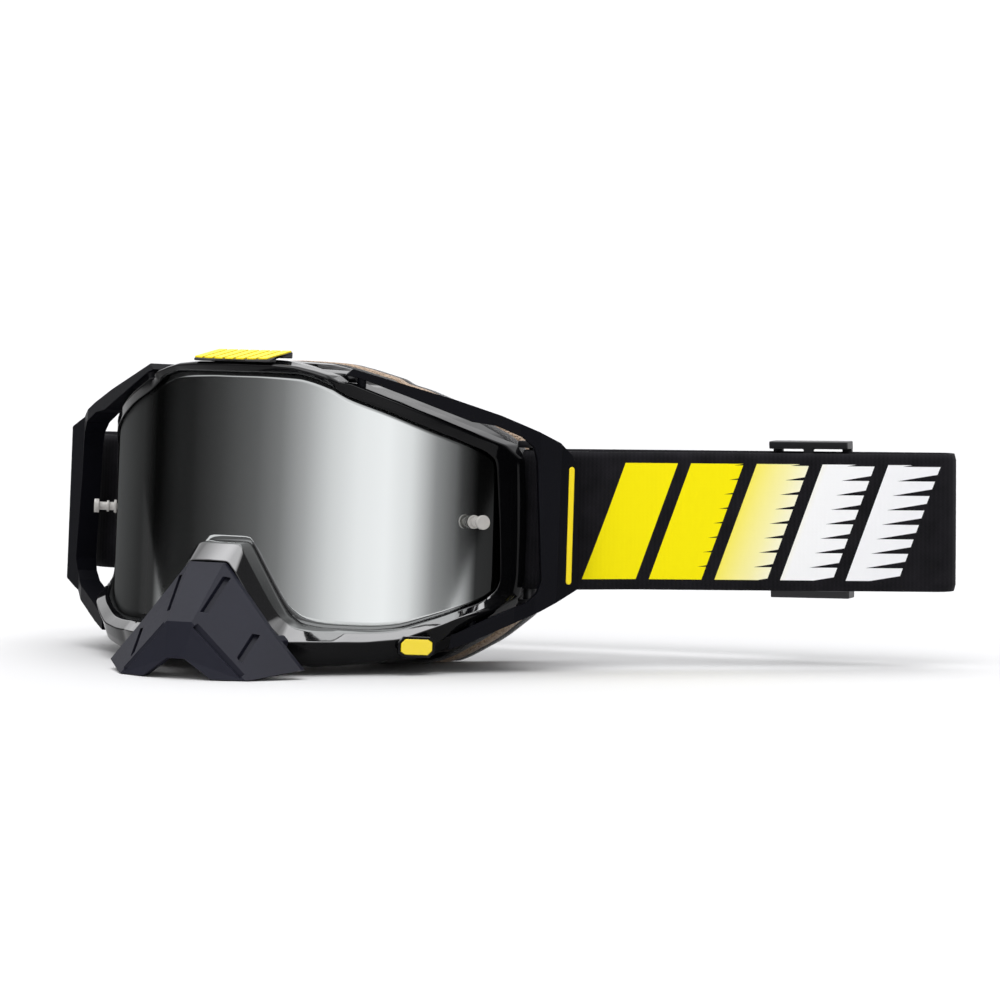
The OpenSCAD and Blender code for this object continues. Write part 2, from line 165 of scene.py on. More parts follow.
def gloss_black():
    """Moulded gloss plastic with a painted highlight: coat and specular are raised only on the lower
    faces that look up round the nose and cheeks, and kept low elsewhere as painted shade.
    """
    n = Nodes("gloss_black")
    heights = []
    for output in ("Object", "Normal"):
        split = n.add("ShaderNodeSeparateXYZ")
        n.link(n.add("ShaderNodeTexCoord").outputs[output], split.inputs["Vector"])
        heights.append(split.outputs["Z"])
    # reflection strength set by height and by facing: a painted highlight on low upward faces, not a
    # polish of the plastic
    low = n.math("DIVIDE", n.math("SUBTRACT", 0.064, heights[0]), 0.012, clamp=True)
    up = n.math("DIVIDE", n.math("SUBTRACT", heights[1], 0.12), 0.25, clamp=True)
    painted_highlight_mask = n.math("MULTIPLY", low, up)
    n.link(n.span(painted_highlight_mask, 0.0, 1.0), n.shader.inputs["Coat Weight"])
    n.link(n.span(painted_highlight_mask, 0.13, 0.8), n.shader.inputs["Specular IOR Level"])
    tinted(n, (0.002, 0.002, 0.0025), (0.0035, 0.0035, 0.004), 30)
    n.link(n.span(n.noise(260, 4), 0.05, 0.11), n.shader.inputs["Roughness"])
    n.set(Coat_Roughness=0.03)
    n.bump(n.noise(70, 2), 0.04, 0.0004)
    return n.material


def matte_shell(name, tone, specular):
    n = Nodes(name)
    dark, light = (tuple(tone * c * share for c in (1, 1.04, 1.8)) for share in (0.88, 1.12))
    tinted(n, dark, light, 40)
    n.link(n.span(n.noise(900, 3), 0.40, 0.52), n.shader.inputs["Roughness"])
    n.set(Specular_IOR_Level=specular)
    n.bump(n.noise(2600, 2), 0.12, 0.00008)
    return n.material


def black_hardware():
    n = Nodes("black_hardware")
    tinted(n, (0.010, 0.010, 0.012), (0.015, 0.015, 0.017), 60)
    n.link(n.span(n.noise(700, 3), 0.32, 0.45), n.shader.inputs["Roughness"])
    n.bump(n.noise(2200, 2), 0.12, 0.00008)
    return n.material


def lens_mirror():
    """A silver mirror in the middle whose two ends carry painted reflection: a plain grey at the left
    end, darkest next to the mirror, and a darkened mirror at the right end, where it would show the
    bright floor.
    """
    n = Nodes("lens_mirror")
    split = n.add("ShaderNodeSeparateXYZ")
    n.link(n.place(), split.inputs["Vector"])
    share = n.math("ADD", n.math("DIVIDE", split.outputs["X"], 2 * LENS_SPAN * MM), 0.5)
    # the colours of the two ends stand in for reflections: painted reflection and painted shade, not a
    # tint of the lens
    silvered = [(-80, 0), (-40, 0), (-31, 1)]
    shades = [(-80, 0.11), (-60, 0.075), (-42, 0.03), (-32, 0.012), (-22, 0.58), (62, 0.62), (66, 0.03),
              (73, 0.012)]
    for stops, socket in ((silvered, "Metallic"), (shades, "Base Color")):
        ends = [((x / LENS_SPAN + 1) / 2, (0.97 * b, b, 0.99 * b)) for x, b in stops]
        n.link(n.ramp(share, ends), n.shader.inputs[socket])
    n.link(n.span(n.noise(45, 3), 0.035, 0.06), n.shader.inputs["Roughness"])
    n.set(Specular_IOR_Level=0.0)
    return n.material


def clear_plastic():
    n = Nodes("clear_plastic")
    tinted(n, (0.62, 0.60, 0.57), (0.72, 0.70, 0.67), 300)
    n.link(n.span(n.noise(900, 2), 0.12, 0.2), n.shader.inputs["Roughness"])
    n.set(Transmission_Weight=0.35, IOR=1.5)
    return n.material


def yellow(name, rough, bump, coat=0.0):
    n = Nodes(name)
    tinted(n, (0.92, 0.70, 0.0), (0.95, 0.74, 0.003), 80)
    n.link(n.span(n.noise(1200, 3), rough, rough + 0.12), n.shader.inputs["Roughness"])
    n.set(Coat_Weight=coat, Coat_Roughness=0.05)
    n.bump(n.noise(3000, 2), bump, 0.00006)
    return n.material


def pad_rubber():
    n = Nodes("pad_rubber")
    tinted(n, (0.012, 0.012, 0.014), (0.02, 0.02, 0.023), 90)
    n.link(n.span(n.noise(1500, 3), 0.5, 0.65), n.shader.inputs["Roughness"])
    n.bump(n.noise(2500, 3), 0.2, 0.0001)
    return n.material


def silicone():
    n = Nodes("silicone")
    tinted(n, (0.05, 0.05, 0.055), (0.07, 0.07, 0.075), 200)
    n.link(n.span(n.noise(500, 3), 0.2, 0.32), n.shader.inputs["Roughness"])
    n.set(Transmission_Weight=0.2)
    n.bump(n.noise(900, 2), 0.2, 0.0001)
    return n.material


def foam(name, dark, light, cell=1500, strength=0.9, sheen=0.3):
    n = Nodes(name)
    where = n.place()
    cells = n.add("ShaderNodeTexVoronoi")
    cells.inputs["Scale"].default_value = cell
    n.link(where, cells.inputs["Vector"])
    pores = n.math("MULTIPLY", cells.outputs["Distance"], 1.2, clamp=True)
    n.link(n.ramp(pores, [(0.15, dark), (0.7, light)]), n.shader.inputs["Base Color"])
    n.link(n.span(n.noise(600, 2), 0.85, 0.98), n.shader.inputs["Roughness"])
    n.set(Sheen_Weight=sheen, Sheen_Roughness=0.5, Specular_IOR_Level=0.2)
    n.bump(n.math("ADD", pores, n.noise(350, 3)), strength, 0.0004)
    return n.material


MATERIALS = {
    "frame_gloss": gloss_black(),
    "matte_shell": matte_shell("matte_shell", 0.0025, 0.08),
    "guard_shell": matte_shell("guard_shell", 0.0105, 0.2),
    "black_hardware": black_hardware(),
    "lens_mirror": lens_mirror(),
    "post_clear": clear_plastic(),
    "yellow_insert": yellow("yellow_insert", 0.3, 0.1),
    "rib_rubber": yellow("rib_rubber", 0.42, 0.2),
    "badge_yellow": yellow("badge_yellow", 0.15, 0.03, coat=0.7),
    "pad_rubber": pad_rubber(),
    "silicone": silicone(),
    "foam_black": foam("foam_black", (0.006, 0.006, 0.006), (0.025, 0.025, 0.026)),
    "foam_tan": foam("foam_tan", (0.16, 0.10, 0.06), (0.42, 0.31, 0.22)),
    "fleece": foam("fleece", (0.006, 0.006, 0.007), (0.03, 0.03, 0.032), 2600, 0.7, 0.8),
    "filter_foam": foam("filter_foam", (0.002, 0.002, 0.002), (0.05, 0.05, 0.052), 900),
}


# ---------------------------------------------------------------- mesh helpers
def make_object(name, vertices, faces, material, smooth_shade=True):
    mesh = bpy.data.meshes.new(name)
    mesh.from_pydata([tuple(v) for v in vertices], [], faces)
    mesh.validate()
    piece = bpy.data.objects.new(name, mesh)
    bpy.context.scene.collection.objects.link(piece)
    mesh.materials.append(material)
    work = bmesh.new()
    work.from_mesh(mesh)
    bmesh.ops.remove_doubles(work, verts=work.verts, dist=1e-7)
    bmesh.ops.recalc_face_normals(work, faces=work.faces)
    work.to_mesh(mesh)
    work.free()
    mesh.polygons.foreach_set("use_smooth", [smooth_shade] * len(mesh.polygons))
    return piece


def finish_piece(piece, body, slot, *nodes):
    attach(piece, body)
    if nodes:
        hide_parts(*nodes)
    return piece


def bevel(piece, width, segments=3, angle=24):
    modifier = piece.modifiers.new("edges", "BEVEL")
    modifier.width = width
    modifier.segments = segments
    modifier.limit_method = "ANGLE"
    modifier.angle_limit = math.radians(angle)
    modifier.harden_normals = True
    modifier.miter_outer = "MITER_ARC"
    return modifier


def even_normals(piece):
    """Keeps large faces flat-looking and lets the narrow strips between them turn."""
    modifier = piece.modifiers.new("normals", "WEIGHTED_NORMAL")
    modifier.weight = 90
    modifier.keep_sharp = False


def dress(node, slot, width=0.0003, segments=2, angle=24):
    """A CAD node keeps its shape, with its sharp edges eased and a procedural material."""
    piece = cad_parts[node]
    piece.data.materials.clear()
    piece.data.materials.append(MATERIALS[slot])
    weld = piece.modifiers.new("weld", "WELD")
    weld.merge_threshold = 2e-6
    flat = piece.modifiers.new("flat", "DECIMATE")
    flat.decimate_type = "DISSOLVE"
    flat.angle_limit = math.radians(0.4)
    bevel(piece, width, segments, angle)


def strip(loops, closed_across=True):
    """Faces between closed loops of the same length, as vertices and quads."""
    n = len(loops[0])
    vertices = [v for loop in loops for v in loop]
    faces = []
    last = len(loops) if closed_across else len(loops) - 1
    for k in range(last):
        a, b = k * n, ((k + 1) % len(loops)) * n
        for i in range(n):
            j = (i + 1) % n
            faces.append((a + i, a + j, b + j, b + i))
    return vertices, faces


# ---------------------------------------------------------------- outlines of the goggle body
# Each row is one place round the body, from the brow's middle over the side to
# the nose: the window's edge, the rim, the body and the face flange as (x, z) in mm,
# then how far out the crest of the bezel lies between window and rim.
RING = [
    ((0, 43), (0, 46.2), (0, 47.7), (0, 38), 0.65),
    ((14, 43.1), (14, 46.1), (14, 47.2), (12, 37.3), 0.65),
    ((22, 43), (21, 45.5), (21, 45.7), (19, 36.2), 0.65),
    ((27, 41.7), (26, 44.4), (26, 44.3), (24, 35.2), 0.65),
    ((30.5, 40.2), (30.5, 43.1), (30.5, 43), (28, 34), 0.68),
    ((33, 38.6), (33, 41.3), (33, 41.4), (31, 33), 0.7),
    ((36, 36.8), (36.3, 41), (38, 40), (35, 31.8), 0.84),
    ((46, 33), (47.6, 36.2), (48, 35.6), (42, 29.4), 0.84),
    ((54.5, 29), (57.1, 31.8), (56, 31.5), (48, 25.8), 0.84),
    ((62.5, 25), (65, 27.6), (63, 27), (53, 21.5), 0.84),
    ((67.8, 21.8), (71, 24), (66.5, 22.6), (55.5, 17), 0.84),
    ((69.7, 19), (73.8, 19.6), (68, 19), (56.5, 13), 0.8),
    ((70.2, 8), (74.2, 8), (68.7, 8), (57, 6), 0.78),
    ((70.7, -3), (74.4, -3), (69, -3), (57, -3), 0.78),
    ((71.1, -17.5), (74.4, -16), (69, -15), (57, -11), 0.78),
    ((70.5, -20.8), (73.9, -23), (68.4, -21), (56, -17), 0.75),
    ((68.1, -24.3), (71.5, -27.6), (66.2, -27.4), (53.5, -23), 0.7),
    ((61, -29), (64.5, -33.8), (59.2, -35.6), (49.5, -28), 0.6),
    ((52, -33), (57, -41.4), (50.6, -42), (44.5, -31.5), 0.42),
    ((45, -34), (45, -44.1), (45, -44.4), (40, -33), 0.38),
    ((31, -34), (31, -46), (31, -44.5), (35, -33), 0.36),
    ((24.5, -33), (26, -45.5), (26, -43.5), (31, -31), 0.45),
    ((20, -29.5), (18, -32.5), (18, -31), (24, -20), 0.8),
    ((8.5, -10), (9.6, -19.6), (10, -20.6), (14, -10), 0.84),
    ((7, -8.6), (6.6, -15.8), (7, -19), (8, -7.2), 0.86),
    ((0, -8.6), (0, -15.6), (0, -18.4), (0, -6.5), 0.86),
]
WINDOW, RIM, BODY, FLANGE = range(4)
STEP = 1.6                    # longest side of a quad along the ring, mm


def around(points):
    """The half outline and its mirror image as one closed polygon."""
    return points + [(-x, z) for x, z in reversed(points) if x > 1e-6]


def between(a, b, share):
    return [(mix(p[0], q[0], s), mix(p[1], q[1], s)) for p, q, s in zip(a, b, share)]


COUNTS = []
_window = around([r[WINDOW] for r in RING])
for i, p in enumerate(_window):
    q = _window[(i + 1) % len(_window)]
    COUNTS.append(max(2, round(math.dist(p, q) / STEP)))


def sampled(polygon, ease=0.3):
    """Points along a polygon with its corners rounded over a share of each side."""
    points = []
    n = len(polygon)
    for i in range(n):
        before, here, after = (Vector(polygon[k % n]) for k in (i - 1, i, i + 1))
        a = here.lerp(before, ease)
        b = here.lerp(after, ease)
        for t in (0, 0.25, 0.5, 0.75, 1):
            points.append((1 - t) ** 2 * a + 2 * t * (1 - t) * here + t * t * b)
        end = after.lerp(here, ease)
        for k in range(1, COUNTS[i]):
            points.append(b.lerp(end, k / COUNTS[i]))
    return [(p.x, p.y) for p in points]


def ring_table(column):
    return [r[column] for r in RING]


def front_y(x, z, side, low, nose):
    """The front surface: a cylinder of radius side beside the lens and low over the
    cheeks, part of the way out at the brow, that bulges forward round the nose."""
    brow = 0.55 * smooth(39.5, 41.5, z) * smooth(35, 31, abs(x))
    radius = mix(side, low, max(smooth(-21, -31, z), brow))
    y = -math.sqrt(max(radius ** 2 - x * x, 1.0))
    if abs(x) < 58 and z < 0:
        bulge = -(nose - 60) - math.sqrt(60.0 ** 2 - x * x)
        y += min(bulge - y, 0.0) * smooth(-2, -13, z)
    return y


def on_drum(radius, x):
    return -math.sqrt(max(radius ** 2 - x * x, 1.0))


def on_face(radius, x):
    return FACE_Y - math.sqrt(radius ** 2 - x * x)


# ---------------------------------------------------------------- frame
def set_back(z, side, low, brow):
    """How far a loop of the bezel lies behind its front, by height."""
    return mix(mix(side, low, smooth(-24, -36, z)), brow, smooth(40, 44, z))


def eased_loops(loops, reach):
    """Three loops for each one, so that every long edge is rounded over by reach."""
    result = []
    n = len(loops)
    for k in range(n):
        first, middle, last = [], [], []
        for a, b, c in zip(loops[k - 1], loops[k], loops[(k + 1) % n]):
            p = b.lerp(a, min(reach / max((a - b).length, 1e-9), 0.4))
            q = b.lerp(c, min(reach / max((c - b).length, 1e-9), 0.4))
            first.append(p)
            middle.append(0.25 * p + 0.5 * b + 0.25 * q)
            last.append(q)
        result += [first, middle, last]
    return result


def frame_loops():
    window, rim, body, flange = (ring_table(k) for k in range(4))
    crest = [r[4] for r in RING]
    n = len(RING)
    half = [
        # outline, corner ease, y of a point
        (between(window, flange, [0.03] * n), 0.3, lambda x, z: on_drum(76.6, x)),
        (window, 0.3, lambda x, z: on_drum(78.9, x)),
        (between(window, rim, [0.1] * n), 0.3, lambda x, z: front_y(x, z, 79.0, 81.2, 85.0)),
        (between(window, rim, crest), 0.2, lambda x, z: front_y(x, z, SIDE_R, RIM_R, NOSE_R)),
        (between(window, rim, [mix(c, 1, 0.6) for c in crest]), 0.15,
         lambda x, z: front_y(x, z, SIDE_R, RIM_R, NOSE_R) + set_back(z, 0.3, 2.2, 0.7)),
        (rim, 0.12, lambda x, z: front_y(x, z, SIDE_R, RIM_R, NOSE_R - 0.6)
         + set_back(z, 1.2, 4.0, 2.0)),
    ]
    loops = []
    for outline, ease, depth in half:
        loops.append([(x, depth(x, z), z) for x, z in sampled(around(outline), ease)])
    rear = []
    for x, y, z in loops[-1]:
        deep = mix(9.0, 5.0, smooth(-10, -20, z) * smooth(40, 30, abs(x)))
        deep = mix(deep, 1.5, smooth(42, 44, z))
        rear.append((x, max(min(y + deep, SIDE_Y), y + 1.0), z))
    loops.append(rear)
    outer = sampled(around(body), 0.15)
    loops.append([(x, min(y + mix(0.6, 6.0, smooth(42, 44, z)), on_face(FACE_R, x) - 3), z)
                  for (x, z), (_, y, _) in zip(outer, rear)])
    loops.append([(x, on_face(FACE_R, x), z) for x, z in outer])
    inner = sampled(around(flange), 0.3)
    loops.append([(x, on_face(FACE_R, x), z) for x, z in inner])
    loops.append([(x, on_face(FACE_R + 2.4, x), z) for x, z in inner])
    lining = sampled(around(between(body, flange, [0.26] * n)), 0.2)
    loops.append([(x, on_face(FACE_R + 2.4, x), z) for x, z in lining])
    loops.append([(x, min(on_drum(76.0, x) + 3, on_face(FACE_R + 3, x) - 1), z) for x, z in lining])
    ledge = sampled(around(between(window, flange, [0.3] * n)), 0.3)
    loops.append([(x, on_drum(74.0, x), z) for x, z in ledge])
    loops.append([(x, on_drum(76.6, x), z) for x, z in ledge])
    return eased_loops([[row(*p) for p in loop] for loop in loops], 0.0005)


def cutters():
    """Boxes that cut the vents through the brow and the cheeks."""
    boxes = []
    for side in (-1, 1):
        for i in range(3):
            boxes.append(((side * (9 + 11 * i), -61.5, 45), (3.6, 4.2, 12)))
            boxes.append(((side * (34 + 8 * i), -47.5 + 3 * i, -50), (2.3, 4.2, 12)))
    vertices, faces = [], []
    for (x, y, z), (a, b, c) in boxes:
        base = len(vertices)
        for dx in (-a, a):
            for dy in (-b, b):
                for dz in (-c, c):
                    vertices.append(row(x + dx, y + dy, z + dz))
        quads = [(0, 1, 3, 2), (4, 6, 7, 5), (0, 4, 5, 1), (2, 3, 7, 6), (0, 2, 6, 4), (1, 5, 7, 3)]
        faces += [tuple(base + k for k in q) for q in quads]
    return make_object("vent_cutter", vertices, faces, MATERIALS["frame_gloss"], False)


def apply_modifiers(piece):
    graph = bpy.context.evaluated_depsgraph_get()
    mesh = bpy.data.meshes.new_from_object(piece.evaluated_get(graph), depsgraph=graph)
    old = piece.data
    piece.modifiers.clear()
    piece.data = mesh
    bpy.data.meshes.remove(old)


def make_frame():
    vertices, faces = strip(frame_loops())
    piece = make_object("frame_shell", vertices, faces, MATERIALS["frame_gloss"])
    cutter = cutters()
    cut = piece.modifiers.new("vents", "BOOLEAN")
    cut.operation = "DIFFERENCE"
    cut.solver = "EXACT"
    cut.object = cutter
    apply_modifiers(piece)
    bpy.data.objects.remove(cutter)
    even_normals(piece)
    return finish_piece(piece, "goggle", "frame_gloss", "frame")


make_frame()


# ---------------------------------------------------------------- lens
def edge_height(outline, x, top):
    """Height of the window's edge over or under x."""
    best = None
    n = len(outline)
    for i in range(n):
        (x0, z0), (x1, z1) = outline[i], outline[(i + 1) % n]
        if (x0 - x) * (x1 - x) <= 0 and abs(x1 - x0) > 1e-9:
            z = mix(z0, z1, (x - x0) / (x1 - x0))
            if best is None or (z > best if top else z < best):
                best = z
    return best


def make_lens():
    outline = sampled(around(between(ring_table(WINDOW), ring_table(FLANGE), [0.03] * len(RING))), 0.3)
    widest = max(x for x, _ in outline) - 0.02
    columns = 121
    levels = 33
    vertices, faces = [], []
    for i in range(columns):
        angle = mix(-math.asin(widest / LENS_R), math.asin(widest / LENS_R), i / (columns - 1))
        x = LENS_R * math.sin(angle)
        low = edge_height(outline, x, False)
        high = edge_height(outline, x, True)
        if i in (0, columns - 1):
            middle = (low + high) / 2
            low, high = middle - 0.6, middle + 0.6
        for k in range(levels):
            vertices.append(row(x, on_drum(LENS_R, x), mix(low, high, k / (levels - 1))))
    for i in range(columns - 1):
        for k in range(levels - 1):
            a = i * levels + k
            faces.append((a, a + levels, a + levels + 1, a + 1))
    piece = make_object("lens_shell", vertices, faces, MATERIALS["lens_mirror"])
    thick = piece.modifiers.new("thickness", "SOLIDIFY")
    thick.thickness = LENS_T * MM
    thick.offset = -1
    return finish_piece(piece, "lens_unit", "lens_mirror", "lens")


make_lens()

# ---------------------------------------------------------------- hard pieces that keep their CAD shape
dress("nose_guard", "guard_shell", 0.0004, 3, 10)
for side in ("left", "right"):
    dress(f"outrigger_{side}", "matte_shell", 0.0005, 3, 12)
    dress(f"stripe_{side}", "yellow_insert", 0.0002)
    dress(f"strap_bar_{side}", "black_hardware")
    dress(f"strap_slider_{side}", "black_hardware", 0.0004)
    dress(f"tear_off_post_{side}", "post_clear", 0.00015)
dress("rib_pad_base", "pad_rubber")
dress("rib_pad_ribs", "rib_rubber", 0.0002)
dress("badge_bezel", "frame_gloss", 0.0002)
dress("badge_plate", "badge_yellow", 0.0002)
dress("silicone_grip", "silicone", 0.0002)


# ---------------------------------------------------------------- face foam
def foam_ring(name, r_front, r_back, out, material_slot, node, pinch=0.9):
    """A foam layer: a ring between two curves of the face, with soft rounded sides."""
    body, flange = ring_table(BODY), ring_table(FLANGE)
    n = len(RING)
    section = [(0.0, 0.04, pinch), (0.0, 0.35, out), (0.0, 0.7, out), (0.0, 0.96, pinch)]
    loops = []
    for share, depth, grow in section:
        outline = sampled(around(between(body, flange, [share - 0.08 * (grow - 1)] * n)), 0.3)
        radius = mix(r_front, r_back, depth)
        loops.append([(x, on_face(radius, x), z) for x, z in outline])
    for k in range(1, 8):
        share = k / 8
        outline = sampled(around(between(body, flange, [share] * n)), 0.3)
        crown = 0.5 * math.sin(math.pi * share)
        loops.append([(x, on_face(r_back - crown, x), z) for x, z in outline])
    for share, depth, grow in reversed(section):
        outline = sampled(around(between(body, flange, [1 - share + 0.08 * (grow - 1)] * n)), 0.3)
        radius = mix(r_front, r_back, depth)
        loops.append([(x, on_face(radius, x), z) for x, z in outline])
    lifted = []
    for loop in loops:
        ring = []
        for p in loop:
            v = row(*p)
            v.z = max(v.z, 0.0)
            ring.append(v)
        lifted.append(ring)
    vertices, faces = strip(lifted)
    piece = make_object(name, vertices, faces, MATERIALS[material_slot])
    finish_piece(piece, "goggle", material_slot, node)
    return piece


foam_ring("foam_base", 99.9, 94.1, 1.2, "foam_black", "foam_base_layer")
foam_ring("foam_middle", 93.9, 89.1, 1.6, "foam_tan", "foam_middle_layer")
foam_ring("foam_fleece", 88.9, 86.2, 1.5, "fleece", "foam_fleece_layer")


def soften(node, name, slot):
    """A filter foam: the CAD solid's own outline, remeshed fine with an open, uneven skin."""
    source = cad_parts[node]
    mesh = source.data.copy()
    piece = bpy.data.objects.new(name, mesh)
    bpy.context.scene.collection.objects.link(piece)
    mesh.materials.clear()
    mesh.materials.append(MATERIALS[slot])
    mesh.transform(source.matrix_world)
    remesh = piece.modifiers.new("cells", "REMESH")
    remesh.mode = "VOXEL"
    remesh.voxel_size = 0.0011
    apply_modifiers(piece)
    for v in piece.data.vertices:
        v.co += v.normal * (noise.noise(v.co * 900) * 0.00018 - 0.0001)
    finish_piece(piece, "goggle", slot, node)
    return piece


soften("top_vent_foam", "top_filter", "filter_foam")
soften("bottom_vent_foam", "bottom_filter", "filter_foam")


# ---------------------------------------------------------------- strap
STRAP_W = 42.6
STRAP_T = 1.8
BAR = Vector((73.5, -19.52))
LOOP_R = 2.0 + 0.4 + STRAP_T / 2
STRAP_Z = 23.9
STITCH = [(90.6, -16.5), (83.4, -19.9), (78, -18.6)]
RIGHT_RUN = [(78.6, -23.1), (84, -22.2), (92, -18)]
FOLD_AT = Vector((183, 40.3))
FOLD_R = 5.0
RUN_B = (-50, 15.6, 19.5)
BACK = [(-72, 13, 21, 0), (-86, 9.6, 22.6, 0.2), (-94, 3.6, 23.4, 0.3), (-97.4, -4, STRAP_Z, 0.4),
        (-96.8, -11.6, STRAP_Z, 0.5), (-92, -18, STRAP_Z, 0.7)]


def arc(centre, radius, a0, a1, steps):
    angles = [math.radians(mix(a0, a1, i / steps)) for i in range(steps + 1)]
    return [(centre.x + radius * math.cos(a), centre.y + radius * math.sin(a)) for a in angles]


def strap_route():
    """Points (x, y, lower edge, share of the body's lean), one end loop to the other."""
    loop = arc(BAR, LOOP_R, 75, 285, 20)
    right = [(x, y, STRAP_Z, 1) for x, y in STITCH + loop + RIGHT_RUN[:2]]
    right += [(*RIGHT_RUN[2], STRAP_Z, 0.5), (104, -11, STRAP_Z, 0)]
    fold = [(x, y, STRAP_Z - 0.8, 0) for x, y in arc(FOLD_AT, FOLD_R, -60, 97, 24)]
    back = [(*RUN_B, 0)] + BACK
    left = [(-x, y, STRAP_Z, 1) for x, y in (RIGHT_RUN[1], RIGHT_RUN[0])]
    left += [(-x, y, STRAP_Z, 1) for x, y in reversed(loop)]
    left += [(-x, y, STRAP_Z, 1) for x, y in reversed(STITCH)]
    return right + fold + back + left


def resample(route, step):
    """The same path with points about a step apart."""
    points = []
    for a, b in zip(route, route[1:]):
        length = math.dist(a[:2], b[:2])
        pieces = max(1, round(length / step))
        for k in range(pieces):
            points.append(tuple(mix(p, q, k / pieces) for p, q in zip(a, b)))
    points.append(route[-1])
    return points


def eased(points, rounds):
    """Softens the corners of a path, keeping its ends."""
    for _ in range(rounds):
        inner = []
        for a, b, c in zip(points, points[1:], points[2:]):
            inner.append(tuple(0.25 * p + 0.5 * q + 0.25 * r for p, q, r in zip(a, b, c)))
        points = [points[0]] + inner + [points[-1]]
    return points


def strap_material():
    """Black woven elastic, printed on the outside with slanted fading bars."""
    n = Nodes("strap_webbing")
    run = n.add("ShaderNodeUVMap")
    run.uv_map = "run"
    split = n.add("ShaderNodeSeparateXYZ")
    n.link(run.outputs["UV"], split.inputs["Vector"])
    along, across = split.outputs["X"], split.outputs["Y"]
    # woven ribs: fine warp lines along the strap, crossed by the weft
    warp = n.math("SINE", n.math("MULTIPLY", across, 2 * math.pi / 0.0011))
    weft = n.math("SINE", n.math("MULTIPLY", along, 2 * math.pi / 0.0013))
    weave = n.math("ADD", n.math("MULTIPLY", n.math("MULTIPLY", warp, weft), 0.35),
                   n.math("MULTIPLY", weft, 0.4))
    worn = n.noise(140, 3)
    # slanted bars, cut by thin speed lines that get longer from bar to bar
    slanted = n.math("SUBTRACT", along, n.math("MULTIPLY", across, 0.36))
    share = n.math("DIVIDE", n.math("SUBTRACT", slanted, PRINT_START * MM), PRINT_LENGTH * MM)
    inside = n.math("MULTIPLY", n.math("GREATER_THAN", share, 0.0), n.math("LESS_THAN", share, 1.0))
    band = n.math("LESS_THAN", n.math("ABSOLUTE", across), PRINT_HEIGHT * MM / 2)
    pulse = n.math("FRACT", n.math("MULTIPLY", share, PRINT_BARS))
    bar = n.math("LESS_THAN", pulse, 0.8)
    line = n.math("FRACT", n.math("DIVIDE", n.math("ADD", across, 0.05), PRINT_LINE * MM))
    start = n.math("SUBTRACT", 0.95, n.math("MULTIPLY", share, 0.85))
    cut = n.math("MULTIPLY", n.math("SUBTRACT", pulse, start), 0.7, clamp=True)
    kept = n.math("GREATER_THAN", line, cut)
    mask = n.math("MULTIPLY", n.math("MULTIPLY", inside, band), n.math("MULTIPLY", bar, kept))
    outer = n.add("ShaderNodeAttribute")
    outer.attribute_name = "outside"
    mask = n.math("MULTIPLY", mask, outer.outputs["Fac"])
    ink = n.ramp(share, [(0.0, (0.95, 0.81, 0.0)), (0.36, (0.95, 0.82, 0.0)), (0.5, (0.94, 0.88, 0.4)),
                         (0.62, (0.92, 0.92, 0.92)), (1.0, (0.86, 0.86, 0.88))])
    cloth = n.ramp(n.math("ADD", n.math("MULTIPLY", weave, 0.2), worn),
                   [(0.2, (0.004, 0.004, 0.005)), (0.9, (0.014, 0.013, 0.016))])
    blend = n.add("ShaderNodeMix")
    blend.data_type = "RGBA"
    n.link(mask, blend.inputs["Factor"])
    n.link(cloth, blend.inputs["A"])
    n.link(ink, blend.inputs["B"])
    n.link(blend.outputs["Result"], n.shader.inputs["Base Color"])
    rough = n.math("SUBTRACT", n.span(worn, 0.78, 0.92), n.math("MULTIPLY", mask, 0.25))
    n.link(rough, n.shader.inputs["Roughness"])
    n.set(Sheen_Weight=0.05, Sheen_Roughness=0.4, Specular_IOR_Level=0.1)
    n.bump(n.math("MULTIPLY", weave, 0.5), 0.5, 0.00012)
    return n.material


PRINT_START = 53.0
PRINT_LENGTH = 101.0
PRINT_HEIGHT = 36.0
PRINT_BARS = 5
PRINT_LINE = 4.5


